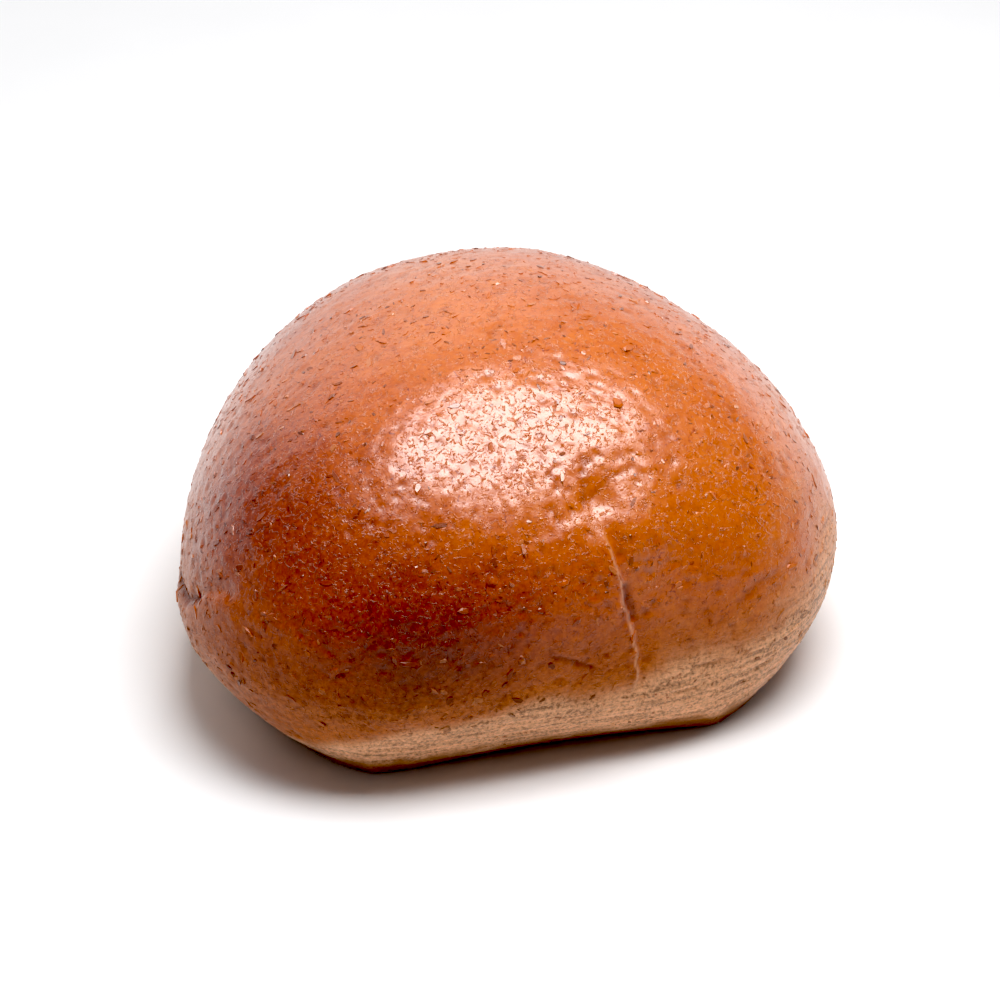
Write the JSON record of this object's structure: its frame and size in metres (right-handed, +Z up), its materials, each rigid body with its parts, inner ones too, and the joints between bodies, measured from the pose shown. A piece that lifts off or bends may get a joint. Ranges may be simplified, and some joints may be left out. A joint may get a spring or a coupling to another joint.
{
  "type": "bread roll",
  "caption": "Round glazed wholemeal bread roll with a domed brown crust, bran flakes, a pressed front and a flat underside.",
  "frame": {"origin": "middle of the roll's plan, on the surface it rests on", "axes": "+Z up through the crown; +X to the roll's right as seen from its pressed front; the pressed front faces -Y"},
  "size_m": [0.1012, 0.0964, 0.0571],
  "materials": {
    "crust": "egg-glazed wholemeal crust, satin to glossy on the dome, dull and pale floury tan round the foot and underside",
    "bran": "toasted bran flakes baked into the crust, satin where the glaze covers them"
  },
  "bodies": {
    "root": {"roll": "crust"}
  },
  "joints": []
}
